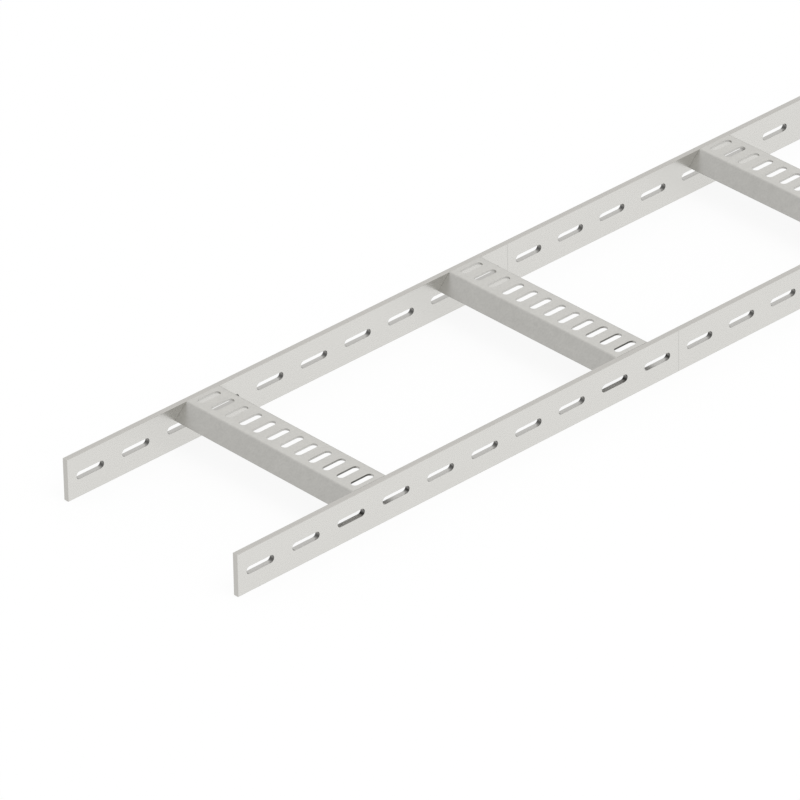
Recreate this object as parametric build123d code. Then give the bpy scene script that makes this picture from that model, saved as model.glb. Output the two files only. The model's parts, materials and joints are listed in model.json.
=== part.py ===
from build123d import *
from math import cos, floor, radians, sin, tan
import os

# Cable ladder section: two slotted flat bar side rails, joined by slotted trapezoidal rungs.
# All sizes are in millimetres. X runs along the side rails, Y across the ladder and Z up.
# The origin is under the middle of the ladder, in the plane of the rails' lower edges.

# The section as a whole
ladder_length = 3000.0
inner_width = 200.0  # clear width between the side rails

# Side rails, flat bar standing on edge
rail_height = 40.0
rail_thickness = 5.0
rail_edge_radius = 0.5  # rolled long edges of the bar

# The row of slots along each side rail
rail_slot_length = 30.0
rail_slot_width = 7.0
rail_slot_pitch = 50.0
rail_slot_end = 25.0  # least distance from a rail's end to the centre of its first slot
rail_slot_lift = rail_height / 2  # height of the slots' centre line

# Rungs, sheet bent to an open channel: a slotted flat top with a flank sloping down each side
rung_pitch = 300.0
rung_end = 150.0  # least distance from a rail's end to the middle of its first rung
rung_top_width = 36.0  # between the top's two corners, measured as if they were sharp
rung_height = 14.6
rung_slope = 45.0  # degrees from level down to a flank
rung_sheet = 2.0
rung_inner_bend = 1.0

# The row of slots across each rung's top
rung_slot_length = 23.0
rung_slot_width = 7.0
rung_slot_pitch = 16.7
rung_slot_end = 8.0  # least distance from a side rail to the centre of the first slot


def copies(span, end, pitch):
    """How many features fit along span, a pitch apart and at least end from both of its ends."""
    return floor((span - 2 * end) / pitch + 1e-6) + 1


def row(count, pitch):
    """The places of count features, a pitch apart and centred on zero."""
    return [(index - (count - 1) / 2) * pitch for index in range(count)]


rail_slots = row(copies(ladder_length, rail_slot_end, rail_slot_pitch), rail_slot_pitch)
rung_places = row(copies(ladder_length, rung_end, rung_pitch), rung_pitch)
rung_slots = row(copies(inner_width, rung_slot_end, rung_slot_pitch), rung_slot_pitch)


def side_rail():
    """A flat bar on edge with its row of slots, centred on X and Y, lower edge at Z = 0."""
    with BuildPart() as rail:
        with BuildSketch(Plane.YZ):
            with Locations((0, rail_height / 2)):
                RectangleRounded(rail_thickness, rail_height, rail_edge_radius)
        extrude(amount=ladder_length / 2, both=True)
        with BuildSketch(Plane.XZ):
            with Locations([(x, rail_slot_lift) for x in rail_slots]):
                SlotOverall(rail_slot_length, rail_slot_width)
        extrude(amount=rail_thickness, both=True, mode=Mode.SUBTRACT)
    return rail.part


def rung_outline():
    """The corners of a rung's section, clockwise, with its top flush with the rails."""
    slope = radians(rung_slope)
    flank = (rung_height - rung_sheet * cos(slope)) / sin(slope)  # length of its outer face
    outer_top = (rung_top_width / 2, rail_height)
    outer_foot = (outer_top[0] + flank * cos(slope), rail_height - flank * sin(slope))
    inner_foot = (outer_foot[0] - rung_sheet * sin(slope), rail_height - rung_height)
    inner_top = (outer_top[0] - rung_sheet * tan(slope / 2), rail_height - rung_sheet)
    right = [outer_top, outer_foot, inner_foot, inner_top]
    left = [(-x, z) for x, z in reversed(right)]
    return right + left


def rung():
    """One rung, centred on X and Y, as long as the gap between the side rails."""
    with BuildPart() as channel:
        with BuildSketch(Plane.XZ) as section:
            with BuildLine():
                Polyline(*rung_outline(), close=True)
            make_face()
            inner_tops = section.vertices().sort_by(Axis.Y)[-4:-2]
            fillet(inner_tops, rung_inner_bend)
            outer_tops = section.vertices().sort_by(Axis.Y)[-2:]
            fillet(outer_tops, rung_inner_bend + rung_sheet)
        extrude(amount=inner_width / 2, both=True)
        with BuildSketch(Plane.XY.offset(rail_height)):
            with Locations([(0, y) for y in rung_slots]):
                SlotOverall(rung_slot_length, rung_slot_width)
        extrude(amount=-2 * rung_sheet, mode=Mode.SUBTRACT)
    return channel.part


def write(part, name):
    """Label one piece and write it to its own file."""
    part.label = name
    export_step(part, f"parts/{name}.step")


os.makedirs("parts", exist_ok=True)

rail_offset = (inner_width + rail_thickness) / 2
write(Pos(0, rail_offset, 0) * side_rail(), "side_rail_left")
write(Pos(0, -rail_offset, 0) * side_rail(), "side_rail_right")

for number, x in enumerate(rung_places, start=1):
    write(Pos(x, 0, 0) * rung(), f"rung_{number:02d}")
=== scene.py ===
"""The looks of a welded cable ladder section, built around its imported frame.

Two slotted flat bars stand on edge, joined by rungs of slotted sheet with sloping flanks.
Lengths are in metres. X runs along the side rails, Y across the ladder and Z up.
"""

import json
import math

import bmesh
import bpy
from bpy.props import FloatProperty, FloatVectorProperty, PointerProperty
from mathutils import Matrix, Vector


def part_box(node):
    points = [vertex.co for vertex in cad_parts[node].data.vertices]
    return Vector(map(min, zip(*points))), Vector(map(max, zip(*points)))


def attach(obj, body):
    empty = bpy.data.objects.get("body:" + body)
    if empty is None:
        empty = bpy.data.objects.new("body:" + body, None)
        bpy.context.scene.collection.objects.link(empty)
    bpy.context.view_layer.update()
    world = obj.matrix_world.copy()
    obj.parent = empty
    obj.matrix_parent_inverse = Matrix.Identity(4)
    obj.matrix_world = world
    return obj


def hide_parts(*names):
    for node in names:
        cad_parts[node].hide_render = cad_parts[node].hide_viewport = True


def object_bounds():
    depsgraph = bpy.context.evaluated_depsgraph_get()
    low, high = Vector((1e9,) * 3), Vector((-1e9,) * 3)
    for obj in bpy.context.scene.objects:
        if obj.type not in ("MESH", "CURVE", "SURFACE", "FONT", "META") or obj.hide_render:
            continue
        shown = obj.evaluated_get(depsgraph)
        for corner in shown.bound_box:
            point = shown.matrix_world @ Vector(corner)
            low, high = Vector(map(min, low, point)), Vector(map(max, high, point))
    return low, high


bl_info = {
    "name": "Cable Ladder Section",
    "version": (1, 0, 0),
    "blender": (4, 5, 0),
    "location": "3D View > Sidebar > Cable Ladder",
    "description": "Builds the side rails, the rungs and the studio of a cable ladder section",
    "category": "Add Mesh",
}

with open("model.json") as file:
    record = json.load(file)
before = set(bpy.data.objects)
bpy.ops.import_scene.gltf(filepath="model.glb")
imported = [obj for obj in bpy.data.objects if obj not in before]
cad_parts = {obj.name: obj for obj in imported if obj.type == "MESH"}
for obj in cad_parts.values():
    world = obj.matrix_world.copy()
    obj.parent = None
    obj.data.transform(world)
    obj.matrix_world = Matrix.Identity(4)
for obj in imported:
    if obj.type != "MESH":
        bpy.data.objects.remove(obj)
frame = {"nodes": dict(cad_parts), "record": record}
CAD_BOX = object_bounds()

MILLIMETRE = 0.001
MOUNTS = {mount["name"]: mount for mount in frame["record"]["mounts"]}
RAIL_DIMS = MOUNTS["splice_slots_left_rear"]["dims"]
RUNG_DIMS = MOUNTS["rung_slots_middle"]["dims"]
RAIL_NODES = sorted(name for name in frame["nodes"] if name.startswith("side_rail"))
RUNG_NODES = sorted(name for name in frame["nodes"] if name.startswith("rung"))


def length_property(name, description, default):
    """A size in metres that a user can change."""
    return FloatProperty(
        name=name, description=description, default=default, min=0.0, precision=4,
        unit="LENGTH", subtype="DISTANCE",
    )


def colour_property(name, description, default):
    """A linear colour that a user can change."""
    return FloatVectorProperty(
        name=name, description=description, default=default, min=0.0, max=1.0,
        size=3, subtype="COLOR",
    )


class LadderRailSettings(bpy.types.PropertyGroup):
    """Sizes and finish of the side rails."""

    slot_length: length_property(
        "Slot length", "Length of a rail slot over its round ends",
        RAIL_DIMS["slot_length_mm"] * MILLIMETRE)
    slot_width: length_property(
        "Slot width", "Width of a rail slot", 2 * RAIL_DIMS["hole_r_mm"] * MILLIMETRE)
    slot_pitch: length_property(
        "Slot pitch", "Distance from one rail slot to the next",
        RAIL_DIMS["spacing_x_mm"] * MILLIMETRE)
    edge_radius: length_property(
        "Edge radius", "Rounding of the bar's long edges and ends", 0.0005)
    slot_rim: length_property(
        "Slot rim", "Rounding of the punched slots' rims", 0.00015)
    face_colour: colour_property(
        "Faces", "Colour of the bar's satin broad faces", (0.700, 0.692, 0.664))
    # The edges' colour is darker than the faces' as painted shade on the bar's tops and ends
    edge_colour: colour_property(
        "Edges", "Colour of the bar's rolled edges and sawn ends", (0.535, 0.523, 0.496))
    wall_colour: colour_property(
        "Slot walls", "Colour of the punched slots' walls", (0.515, 0.507, 0.486))
    roughness: FloatProperty(
        name="Roughness", description="How dull the broad faces are", default=0.27,
        min=0.0, max=1.0)
    cut_roughness: FloatProperty(
        name="Cut roughness", description="How dull the edges and slot walls are",
        default=0.34, min=0.0, max=1.0)


class LadderRungSettings(bpy.types.PropertyGroup):
    """Sizes and finish of the rungs."""

    slot_length: length_property(
        "Slot length", "Length of a rung slot over its round ends",
        RUNG_DIMS["slot_length_mm"] * MILLIMETRE)
    slot_width: length_property(
        "Slot width", "Width of a rung slot", 2 * RUNG_DIMS["hole_r_mm"] * MILLIMETRE)
    slot_pitch: length_property(
        "Slot pitch", "Distance from one rung slot to the next", 0.0167)
    sheet: length_property("Sheet", "Thickness of the bent sheet", 0.002)
    inner_bend: length_property("Inner bend", "Inside radius of the bends", 0.001)
    slope: FloatProperty(
        name="Flank slope", description="Angle from level down to a flank",
        default=math.radians(45), min=math.radians(10), max=math.radians(90), subtype="ANGLE")
    slot_rim: length_property(
        "Slot rim", "Rounding of the punched slots' rims", 0.0002)
    face_colour: colour_property(
        "Faces", "Colour of the pickled sheet", (0.585, 0.576, 0.548))
    cut_colour: colour_property(
        "Cut edges", "Colour of the sheet's cut edges and slot walls", (0.600, 0.592, 0.568))
    roughness: FloatProperty(
        name="Roughness", description="How dull the sheet is", default=0.30, min=0.0, max=1.0)
    cut_roughness: FloatProperty(
        name="Cut roughness", description="How dull the cut edges and slot walls are",
        default=0.30, min=0.0, max=1.0)


class LadderStageSettings(bpy.types.PropertyGroup):
    """Colour of the floor and strength of the light."""

    floor_colour: colour_property(
        "Floor", "Colour of the studio floor", (0.92, 0.92, 0.92))
    world_strength: FloatProperty(
        name="World", description="Strength of the white world", default=1.0, min=0.0)
    key_power: FloatProperty(
        name="Key lamp", description="Power of the large soft lamp", default=60.0,
        min=0.0, unit="POWER")


class LadderSettings(bpy.types.PropertyGroup):
    """Everything that a user can change on the cable ladder."""

    rail: PointerProperty(type=LadderRailSettings)
    rung: PointerProperty(type=LadderRungSettings)
    stage: PointerProperty(type=LadderStageSettings)


# Shader maths

class Wire:
    """A node socket that can be used in sums, so that shader maths reads as an expression."""

    def __init__(self, tree, socket):
        self.tree = tree
        self.socket = socket

    def combine(self, operation, first, second=None):
        """A node that works out an operation on numbers, or on vectors where one is a vector."""
        pair = [value for value in (first, second) if value is not None]
        if any(is_vector(value) for value in pair):
            return self.tree.node("ShaderNodeVectorMath", {"operation": operation}, *pair)
        return self.tree.node("ShaderNodeMath", {"operation": operation}, *pair)

    def __add__(self, other):
        return self.combine("ADD", self, other)

    def __radd__(self, other):
        return self.combine("ADD", other, self)

    def __sub__(self, other):
        return self.combine("SUBTRACT", self, other)

    def __rsub__(self, other):
        return self.combine("SUBTRACT", other, self)

    def __mul__(self, other):
        return self.combine("MULTIPLY", self, other)

    def __rmul__(self, other):
        return self.combine("MULTIPLY", other, self)

    def __truediv__(self, other):
        return self.combine("DIVIDE", self, other)

    def __abs__(self):
        return self.combine("ABSOLUTE", self)

    def __lt__(self, other):
        return self.combine("LESS_THAN", self, other)

    def clamped(self):
        """The number held between nought and one."""
        return self.tree.node("ShaderNodeClamp", None, self)


def is_vector(value):
    """Whether a value in a sum has three parts."""
    if isinstance(value, Wire):
        return value.socket.type in {"VECTOR", "RGBA"}
    return hasattr(value, "__len__")


class Tree:
    """A node tree under construction."""

    def __init__(self, owner):
        owner.use_nodes = True
        self.nodes = owner.node_tree.nodes
        self.links = owner.node_tree.links
        self.nodes.clear()

    def node(self, kind, settings=None, *values, output=0, **named):
        """Adds a node with its settings, fills its sockets and returns one of its outputs."""
        made = self.nodes.new(kind)
        for name, value in (settings or {}).items():
            setattr(made, name, value)
        for index, value in enumerate(values):
            self.fill(made.inputs[index], value)
        for name, value in named.items():
            self.fill(made.inputs[name.replace("_", " ")], value)
        return Wire(self, made.outputs[output]) if made.outputs else made

    def fill(self, socket, value):
        """Links a wire to a socket, or sets the socket to a plain value."""
        if isinstance(value, Wire):
            self.links.new(value.socket, socket)
        elif socket.type == "RGBA" and len(value) == 3:
            socket.default_value = (*value, 1.0)
        else:
            socket.default_value = value

    def position(self):
        """The point on the object, in metres in the row frame."""
        return self.node("ShaderNodeTexCoord", output="Object")

    def part(self, vector, axis):
        """One of a vector's three parts."""
        return self.node("ShaderNodeSeparateXYZ", None, vector, output=axis)

    def facing(self, axis):
        """How far the surface faces along an axis of the object, from -1 to 1."""
        return self.part(self.node("ShaderNodeTexCoord", output="Normal"), axis)

    def noise(self, place, scale, detail=2.0, roughness=0.5):
        """Smooth random values about a half, at a number of features to the metre."""
        return self.node(
            "ShaderNodeTexNoise", None, Vector=place, Scale=scale, Detail=detail,
            Roughness=roughness, output="Fac",
        )

    def tint(self, colour, shade):
        """A colour made lighter or darker by a number that varies about one."""
        grey = self.node("ShaderNodeCombineXYZ", None, shade, shade, shade)
        return grey * tuple(colour)


# Steel finishes: scales in features to the metre, shades in shares of the colour

STREAKS = Vector((6.0, 900.0, 900.0))
BAR_CLOUDS = 35.0
BAR_FINE_GRAIN = 650.0
BAR_EDGE_CLOUDS = 60.0
PUNCH_SCORES = 900.0
SHEET_GRAIN = 520.0
SHEET_MOTTLE = 140.0
SHEET_CLOUDS = 25.0
RELIEF_DEPTH = 0.0002
BRUSHED_RELIEF = 0.010
SHEET_RELIEF = 0.03
MARK_SPACING = 0.5
MARK_HALF_WIDTH = 0.0006
MARK_SHADE = 0.11
# Painted shade on the rungs' flanks and underside
FLANK_SHADE = 0.337
UNDERSIDE_SHADE = 0.45
# Painted shade at the round ends of the rails' slots, deepest low down
SLOT_END_SHADE = 0.52
SLOT_CORNER_SHADE = 0.80
# Painted shade on the rungs' slot walls, at the round ends and where they face a side rail close
# by
RUNG_SLOT_END_SHADE = 0.25
RAIL_SHADE_START = 0.027
RAIL_SHADE_GAIN = 12.0


def steel(name, tree_builder):
    """A metal material whose varying inputs come from a function of its own."""
    material = bpy.data.materials.new(name)
    tree = Tree(material)
    inputs = tree_builder(tree)
    shader = tree.node("ShaderNodeBsdfPrincipled", None, Metallic=1.0, **inputs)
    tree.node("ShaderNodeOutputMaterial", None, Surface=shader)
    return material


def bar_face_steel(settings):
    """Satin flat bar, brushed along its length, with a hairline mark every half metre."""

    def build(tree):
        place = tree.position()
        brushed = tree.noise(place * STREAKS, 1.0, detail=3.0)
        cloudy = tree.noise(place, BAR_CLOUDS)
        fine = tree.noise(place, BAR_FINE_GRAIN)
        turns = tree.node("ShaderNodeMath", {"operation": "FRACT"},
                          (tree.part(place, "X") - CAD_BOX[0].x) / MARK_SPACING + 0.5)
        mark = abs(turns - 0.5) * MARK_SPACING < MARK_HALF_WIDTH
        shade = 0.978 + 0.012 * brushed + 0.022 * cloudy + 0.010 * fine - MARK_SHADE * mark
        dull = settings.roughness - 0.03 + 0.04 * brushed + 0.02 * cloudy
        relief = tree.node("ShaderNodeBump", None, Strength=BRUSHED_RELIEF, Distance=RELIEF_DEPTH,
                           Height=brushed)
        return {"Base_Color": tree.tint(settings.face_colour, shade), "Roughness": dull,
                "Normal": relief}

    return steel("satin_bar_face", build)


def bar_edge_steel(settings):
    """The bar's rolled long edges and sawn ends, duller than its broad faces, with painted shade
    that makes their colour darker.
    """

    def build(tree):
        place = tree.position()
        brushed = tree.noise(place * STREAKS, 1.0)
        cloudy = tree.noise(place, BAR_EDGE_CLOUDS)
        # The darker edge colour is painted shade on the bar's tops and ends
        shade = 0.95 + 0.05 * brushed + 0.05 * cloudy
        dull = settings.cut_roughness + 0.05 * brushed
        return {"Base_Color": tree.tint(settings.edge_colour, shade), "Roughness": dull}

    return steel("rolled_bar_edge", build)


def slot_wall_steel(settings):
    """The punched walls of the rails' slots, with painted shade at the round ends that is deepest
    low down.
    """

    def build(tree):
        place = tree.position()
        scored = tree.noise(place, PUNCH_SCORES)
        # Painted shade: the round ends darken, most of all low down, as shade inside the slots
        end = abs(tree.facing("X"))
        low = tree.facing("Z")
        shade = 0.93 + 0.14 * scored - end * (SLOT_END_SHADE + SLOT_CORNER_SHADE * low)
        dull = settings.cut_roughness - 0.06 + 0.08 * scored
        return {"Base_Color": tree.tint(settings.wall_colour, shade), "Roughness": dull}

    return steel("punched_slot_wall", build)


def sheet_face_steel(settings):
    """Pickled sheet with a fine mottled grain, and painted shade that is darker on the flanks and
    darkest underneath.
    """

    def build(tree):
        place = tree.position()
        grain = tree.noise(place, SHEET_GRAIN, detail=3.0, roughness=0.6)
        mottle = tree.noise(place, SHEET_MOTTLE)
        cloudy = tree.noise(place, SHEET_CLOUDS)
        # Painted shade darkens the flanks and, most of all, the underside
        flank = abs(tree.facing("X"))
        under = (0.0 - tree.facing("Z")).clamped()
        grainy = 0.830 + 0.20 * grain + 0.10 * mottle + 0.04 * cloudy
        shade = grainy - FLANK_SHADE * flank - UNDERSIDE_SHADE * under
        dull = settings.roughness - 0.04 + 0.08 * grain
        relief = tree.node("ShaderNodeBump", None, Strength=SHEET_RELIEF, Distance=RELIEF_DEPTH,
                           Height=grain + 0.5 * mottle)
        return {"Base_Color": tree.tint(settings.face_colour, shade), "Roughness": dull,
                "Normal": relief}

    return steel("pickled_sheet_face", build)


def sheet_cut_steel(settings):
    """The sheet's sheared edges and slot walls, with painted shade where they face a side rail
    close by and at the slots' round ends.
    """

    def build(tree):
        place = tree.position()
        scored = tree.noise(place, PUNCH_SCORES)
        # Painted shade: walls facing a side rail close by are darkened, standing for that rail's
        # dark reflection, and walls facing along X, such as the round ends, as well
        outward = tree.facing("Y") * tree.part(place, "Y")
        rail_shade = ((outward - RAIL_SHADE_START) * RAIL_SHADE_GAIN).clamped()
        end_shade = RUNG_SLOT_END_SHADE * abs(tree.facing("X"))
        shade = 0.92 + 0.16 * scored - end_shade - rail_shade
        return {"Base_Color": tree.tint(settings.cut_colour, shade),
                "Roughness": settings.cut_roughness - 0.04 + 0.08 * scored}

    return steel("sheared_sheet_edge", build)


# Slotted sheet and bar

ARC_STEPS = 12
BEND_STEPS = 6
RIM_STEPS = 2
BAR_EDGE_STEPS = 3
SHARP_ANGLE = math.radians(50)
LARGE_FACE_WEIGHT = 100
SAME_PLACE = 1e-7
ALONG_SIDE = 1e-9
FACE, EDGE, WALL = range(3)


class FlatPattern:
    """The flat outline of a bar or sheet with its slots, before it gets a thickness.

    Slots run along u, and v runs across them. Faces turn anticlockwise seen from outside.
    """

    def __init__(self):
        self.places = []
        self.known = {}
        self.faces = []

    def vertex(self, u, v):
        """The number of the vertex at a place, which neighbouring faces share."""
        key = (round(u / SAME_PLACE), round(v / SAME_PLACE))
        if key not in self.known:
            self.known[key] = len(self.places)
            self.places.append((u, v))
        return self.known[key]

    def face(self, points):
        """Adds a face through points that follow one another round it."""
        corners = [self.vertex(*point) for point in points]
        self.faces.append([c for i, c in enumerate(corners) if c != corners[i - 1]])

    def slot_cell(self, centre, length, width, low, high):
        """Adds the faces between a slot's rim and the rectangle around it."""
        reach = (length - width) / 2
        radius = width / 2
        step = math.pi / ARC_STEPS
        rim, edge = [], []
        for side, first in ((1, -math.pi / 2), (-1, math.pi / 2)):
            hub = (centre[0] + side * reach, centre[1])
            for index in range(ARC_STEPS + 1):
                angle = first + index * step
                direction = (math.cos(angle), math.sin(angle))
                rim.append((hub[0] + radius * direction[0], hub[1] + radius * direction[1]))
                edge.append(ray_to_box(hub, direction, low, high))
        for index in range(len(rim)):
            after = (index + 1) % len(rim)
            corner = box_corner_between(edge[index], edge[after], low, high)
            outside = [edge[index], *corner, edge[after]]
            self.face([*outside, rim[after], rim[index]])

    def border(self):
        """The edges with a face on one side only, in the direction of that face."""
        edges = [(face[i - 1], corner) for face in self.faces for i, corner in enumerate(face)]
        twice = set(edges)
        return [edge for edge in edges if (edge[1], edge[0]) not in twice]


def ray_to_box(hub, direction, low, high):
    """Where a ray from inside a flat rectangle meets its edge."""
    reaches = []
    for axis in (0, 1):
        if abs(direction[axis]) > ALONG_SIDE:
            wall = high[axis] if direction[axis] > 0 else low[axis]
            reaches.append((wall - hub[axis]) / direction[axis])
    reach = min(reaches)
    return (hub[0] + reach * direction[0], hub[1] + reach * direction[1])


def box_corner_between(first, second, low, high):
    """The rectangle's corner that lies between two points of its edge, if there is one."""
    def on_side(point, axis):
        return min(abs(point[axis] - low[axis]), abs(point[axis] - high[axis])) < SAME_PLACE

    if on_side(first, 0) and on_side(second, 1) and not on_side(second, 0):
        return [(first[0], second[1])]
    if on_side(first, 1) and on_side(second, 0) and not on_side(first, 0):
        return [(second[0], first[1])]
    return []


def thicken(pattern, outer_place, inner_place, finish_of_cut):
    """A closed mesh from a flat pattern and the two surfaces that it is laid on."""
    mesh = bmesh.new()
    outer = [mesh.verts.new(outer_place(u, v)) for u, v in pattern.places]
    inner = [mesh.verts.new(inner_place(u, v)) for u, v in pattern.places]
    for face in pattern.faces:
        mesh.faces.new([outer[corner] for corner in face])
        mesh.faces.new([inner[corner] for corner in reversed(face)])
    for start, end in pattern.border():
        cut = mesh.faces.new([outer[end], outer[start], inner[start], inner[end]])
        cut.material_index = finish_of_cut(pattern.places[start], pattern.places[end])
    bmesh.ops.recalc_face_normals(mesh, faces=mesh.faces)
    return mesh


def round_edges(mesh, width, steps, finish, wanted):
    """Rounds the sharp edges that a test picks by their two ends, and gives them a finish."""
    edges = [
        edge for edge in mesh.edges
        if edge.is_manifold and edge.calc_face_angle() > SHARP_ANGLE
        and wanted(edge.verts[0].co, edge.verts[1].co)
    ]
    bmesh.ops.bevel(
        mesh, geom=edges, offset=width, segments=steps, profile=0.5, affect="EDGES",
        clamp_overlap=True, material=finish,
    )


def new_piece(name, mesh, finishes, node):
    """Makes a finished piece that stands for a CAD node and rides with it."""
    data = bpy.data.meshes.new(name)
    mesh.to_mesh(data)
    mesh.free()
    data.shade_smooth()
    for finish in finishes:
        data.materials.append(finish)
    piece = bpy.data.objects.new(name, data)
    bpy.context.scene.collection.objects.link(piece)
    normals = piece.modifiers.new("Even faces", "WEIGHTED_NORMAL")
    normals.weight = LARGE_FACE_WEIGHT
    normals.keep_sharp = True
    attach(piece, "root")
    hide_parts(node)
    return piece


def build_rail(node, settings, finishes):
    """A flat bar on edge with its row of slots and rounded edges."""
    low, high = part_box(node)
    count = round((high.x - low.x) / settings.slot_pitch)
    half = settings.slot_pitch / 2
    middle = (low.z + high.z) / 2
    pattern = FlatPattern()
    for index in range(count):
        x = low.x + (index + 0.5) * settings.slot_pitch
        pattern.slot_cell(
            (x, middle), settings.slot_length, settings.slot_width,
            (x - half, low.z), (x + half, high.z),
        )
    reach = settings.slot_length / 2 + SAME_PLACE
    rise = settings.slot_width / 2 + SAME_PLACE

    def in_slot(x, z):
        """Whether a point of the bar is inside a slot or on its rim."""
        along = (x - low.x) % settings.slot_pitch - half
        return abs(along) < reach and abs(z - middle) < rise

    def finish_of_cut(first, second):
        """One finish for the slots' walls and another for the bar's own edges and ends."""
        return WALL if in_slot(*first) and in_slot(*second) else EDGE

    def on_rim(first, second):
        """Whether an edge of the mesh is on a slot's rim, not on the bar's own outline."""
        return in_slot(first.x, first.z) and in_slot(second.x, second.z)

    mesh = thicken(
        pattern, lambda u, v: (u, low.y, v), lambda u, v: (u, high.y, v), finish_of_cut,
    )
    round_edges(mesh, settings.slot_rim, RIM_STEPS, WALL, on_rim)
    round_edges(mesh, settings.edge_radius, BAR_EDGE_STEPS, EDGE,
                lambda first, second: not on_rim(first, second))
    return new_piece(f"{node}_bar", mesh, finishes, node)


class RungSection:
    """A rung's cross section, unrolled: u is the distance along its outer face from the middle."""

    def __init__(self, low, high, settings):
        self.middle = (low.x + high.x) / 2
        self.slope = settings.slope
        self.outer_bend = settings.inner_bend + settings.sheet
        self.bend_height = high.z - self.outer_bend
        drop = high.z - low.z - settings.sheet * math.cos(self.slope)
        flank = drop / math.sin(self.slope)
        corner = (high.x - low.x) / 2 - flank * math.cos(self.slope)
        taken = self.outer_bend * math.tan(self.slope / 2)
        self.flat = corner - taken
        self.bend = self.slope * self.outer_bend
        self.straight = flank - taken

    def columns(self):
        """Where the mesh has a column between the top's edge and the flank's foot."""
        turns = [self.flat + self.bend * step / BEND_STEPS for step in range(BEND_STEPS + 1)]
        return [*turns, turns[-1] + self.straight]

    def place(self, u, v, radius):
        """A point of the sheet: flat on the top, round a bend, then down a flank."""
        beyond = abs(u) - self.flat
        if beyond < SAME_PLACE:
            return (self.middle + u, v, self.bend_height + radius)
        turn = min(beyond, self.bend) / self.outer_bend
        down = max(beyond - self.bend, 0.0)
        out = self.flat + radius * math.sin(turn) + down * math.cos(self.slope)
        height = self.bend_height + radius * math.cos(turn) - down * math.sin(self.slope)
        return (self.middle + math.copysign(out, u), v, height)


def build_rung(node, settings, finishes):
    """An open channel with sloping flanks and a row of slots in its flat top."""
    low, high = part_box(node)
    section = RungSection(low, high, settings)
    middle = (low.y + high.y) / 2
    count = round((high.y - low.y) / settings.slot_pitch)
    pattern = FlatPattern()
    for index in range(count):
        y = middle + (index - (count - 1) / 2) * settings.slot_pitch
        first = low.y if index == 0 else y - settings.slot_pitch / 2
        last = high.y if index == count - 1 else y + settings.slot_pitch / 2
        pattern.slot_cell(
            (0.0, y), settings.slot_length, settings.slot_width,
            (-section.flat, first), (section.flat, last),
        )
    rows = sorted(v for u, v in pattern.places if abs(u - section.flat) < SAME_PLACE)
    columns = section.columns()
    for inner, outer in zip(columns, columns[1:]):
        for near, far in zip(rows, rows[1:]):
            pattern.face([(inner, near), (outer, near), (outer, far), (inner, far)])
            pattern.face([(-outer, near), (-inner, near), (-inner, far), (-outer, far)])
    mesh = thicken(
        pattern, lambda u, v: section.place(u, v, section.outer_bend),
        lambda u, v: section.place(u, v, settings.inner_bend), lambda first, second: EDGE,
    )
    round_edges(mesh, settings.slot_rim, RIM_STEPS, FACE, lambda first, second: True)
    return new_piece(f"{node}_channel", mesh, finishes, node)


# Operators

class LADDER_OT_side_rails(bpy.types.Operator):
    """Build the two slotted side rails"""

    bl_idname = "ladder.side_rails"
    bl_label = "Side Rails"

    def execute(self, context):
        settings = context.scene.cable_ladder.rail
        finishes = [bar_face_steel(settings), bar_edge_steel(settings), slot_wall_steel(settings)]
        for node in RAIL_NODES:
            build_rail(node, settings, finishes)
        return {"FINISHED"}


class LADDER_OT_rungs(bpy.types.Operator):
    """Build the slotted rungs"""

    bl_idname = "ladder.rungs"
    bl_label = "Rungs"

    def execute(self, context):
        settings = context.scene.cable_ladder.rung
        finishes = [sheet_face_steel(settings), sheet_cut_steel(settings)]
        for node in RUNG_NODES:
            build_rung(node, settings, finishes)
        return {"FINISHED"}


# Where the photograph was taken from, as a point, a direction and a roll
CAMERA_PLACE = Vector((-5.2362, -4.3084, 3.5587))
CAMERA_DIRECTION = Vector((0.58445, 0.62713, -0.51490))
CAMERA_ROLL = math.radians(-1.011)
CAMERA_LENS = 373.74
SENSOR_WIDTH = 36.0
CLIP_END = 200.0

# The floor, how far plain white hides it from the camera, and the lamp
FLOOR_SIZE = 400.0
FLOOR_VEIL = 0.9
LAMP_PLACE = Vector((-0.5, -3.5, 5.5))
LAMP_SIZE = 4.0


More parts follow.
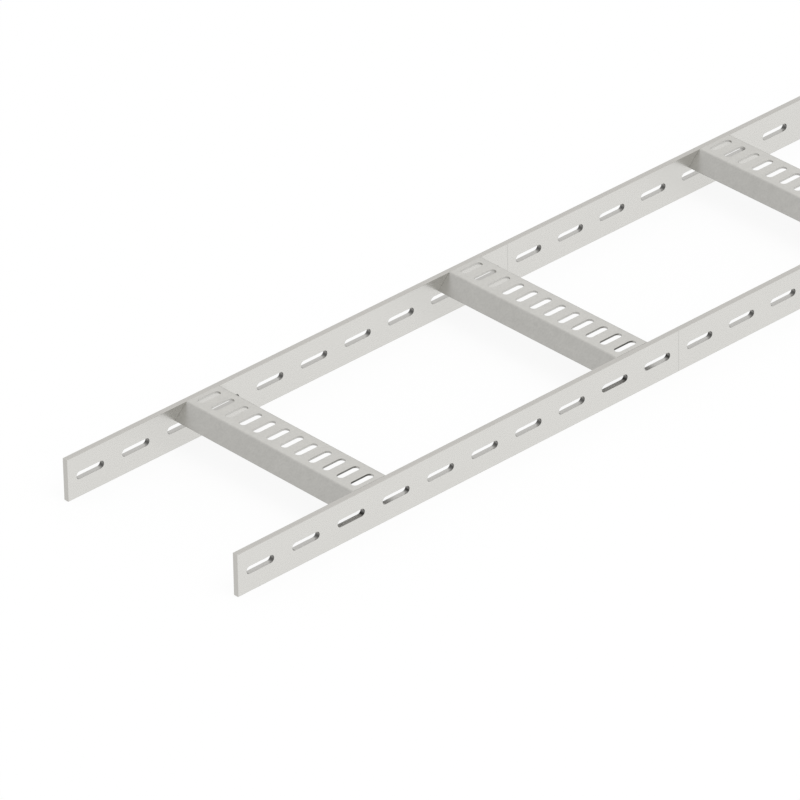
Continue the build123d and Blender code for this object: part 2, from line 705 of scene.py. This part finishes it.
class LADDER_OT_stage(bpy.types.Operator):
    """Set up the floor, the world, the lamp and the camera"""

    bl_idname = "ladder.stage"
    bl_label = "Stage"

    def execute(self, context):
        settings = context.scene.cable_ladder.stage
        self.floor(settings)
        self.world(context, settings)
        self.lamp(context, settings)
        self.camera(context)
        return {"FINISHED"}

    def seen(self, tree):
        """One for rays from the camera or off a glossy surface, which show the backdrop."""
        camera = tree.node("ShaderNodeLightPath", output="Is Camera Ray")
        glossy = tree.node("ShaderNodeLightPath", output="Is Glossy Ray")
        return tree.node("ShaderNodeMath", {"operation": "MAXIMUM"}, camera, glossy)

    def floor(self, settings):
        """A pale floor that keeps a soft shadow."""
        material = bpy.data.materials.new("studio_floor")
        tree = Tree(material)
        lit = tree.node("ShaderNodeBsdfDiffuse", None, Color=tuple(settings.floor_colour))
        white = tree.node("ShaderNodeEmission", None, Color=(1.0, 1.0, 1.0), Strength=1.0)
        mixed = tree.node("ShaderNodeMixShader", None, self.seen(tree) * FLOOR_VEIL, lit, white)
        tree.node("ShaderNodeOutputMaterial", None, Surface=mixed)
        mesh = bmesh.new()
        bmesh.ops.create_grid(mesh, x_segments=1, y_segments=1, size=FLOOR_SIZE / 2)
        data = bpy.data.meshes.new("studio_floor")
        mesh.to_mesh(data)
        mesh.free()
        data.materials.append(material)
        floor = bpy.data.objects.new("studio_floor", data)
        bpy.context.scene.collection.objects.link(floor)

    def world(self, context, settings):
        """A plain white world."""
        world = bpy.data.worlds.new("studio_world")
        context.scene.world = world
        tree = Tree(world)
        background = tree.node("ShaderNodeBackground", None, Color=(1.0, 1.0, 1.0),
                               Strength=settings.world_strength)
        tree.node("ShaderNodeOutputWorld", None, Surface=background)

    def lamp(self, context, settings):
        """One large soft lamp, high on the camera's side and aimed at the ladder's middle."""
        data = bpy.data.lights.new("key_lamp", "AREA")
        data.shape = "DISK"
        data.size = LAMP_SIZE
        data.energy = settings.key_power
        lamp = bpy.data.objects.new("key_lamp", data)
        lamp.location = LAMP_PLACE
        lamp.rotation_euler = (-LAMP_PLACE).to_track_quat("-Z", "Y").to_euler()
        context.scene.collection.objects.link(lamp)

    def camera(self, context):
        """The camera at the photograph's place and angle."""
        data = bpy.data.cameras.new("camera")
        data.sensor_width = SENSOR_WIDTH
        data.lens = CAMERA_LENS
        data.clip_end = CLIP_END
        camera = bpy.data.objects.new("camera", data)
        turn = CAMERA_DIRECTION.to_track_quat("-Z", "Y").to_matrix().to_4x4()
        roll = Matrix.Rotation(CAMERA_ROLL, 4, "Z")
        camera.matrix_world = Matrix.Translation(CAMERA_PLACE) @ turn @ roll
        context.scene.collection.objects.link(camera)
        context.scene.camera = camera


class LADDER_PT_panel(bpy.types.Panel):
    """Lists the ladder's settings and operators"""

    bl_idname = "LADDER_PT_panel"
    bl_label = "Cable Ladder"
    bl_space_type = "VIEW_3D"
    bl_region_type = "UI"
    bl_category = "Cable Ladder"

    def draw(self, context):
        settings = context.scene.cable_ladder
        for title, group, operator in (
            ("Side rails", settings.rail, LADDER_OT_side_rails),
            ("Rungs", settings.rung, LADDER_OT_rungs),
            ("Stage", settings.stage, LADDER_OT_stage),
        ):
            box = self.layout.box()
            box.label(text=title)
            for name in group.__annotations__:
                box.prop(group, name)
            box.operator(operator.bl_idname)


CLASSES = (
    LadderRailSettings,
    LadderRungSettings,
    LadderStageSettings,
    LadderSettings,
    LADDER_OT_side_rails,
    LADDER_OT_rungs,
    LADDER_OT_stage,
    LADDER_PT_panel,
)


def register():
    """Adds the classes and the scene's settings to Blender."""
    for cls in CLASSES:
        bpy.utils.register_class(cls)
    bpy.types.Scene.cable_ladder = PointerProperty(type=LadderSettings)


def unregister():
    """Takes the settings and the classes out again."""
    del bpy.types.Scene.cable_ladder
    for cls in reversed(CLASSES):
        bpy.utils.unregister_class(cls)


def main():
    """Registers the classes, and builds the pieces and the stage."""
    register()
    bpy.context.scene.view_settings.view_transform = "Standard"
    bpy.ops.ladder.side_rails()
    bpy.ops.ladder.rungs()
    bpy.ops.ladder.stage()


if __name__ == "__main__":
    main()
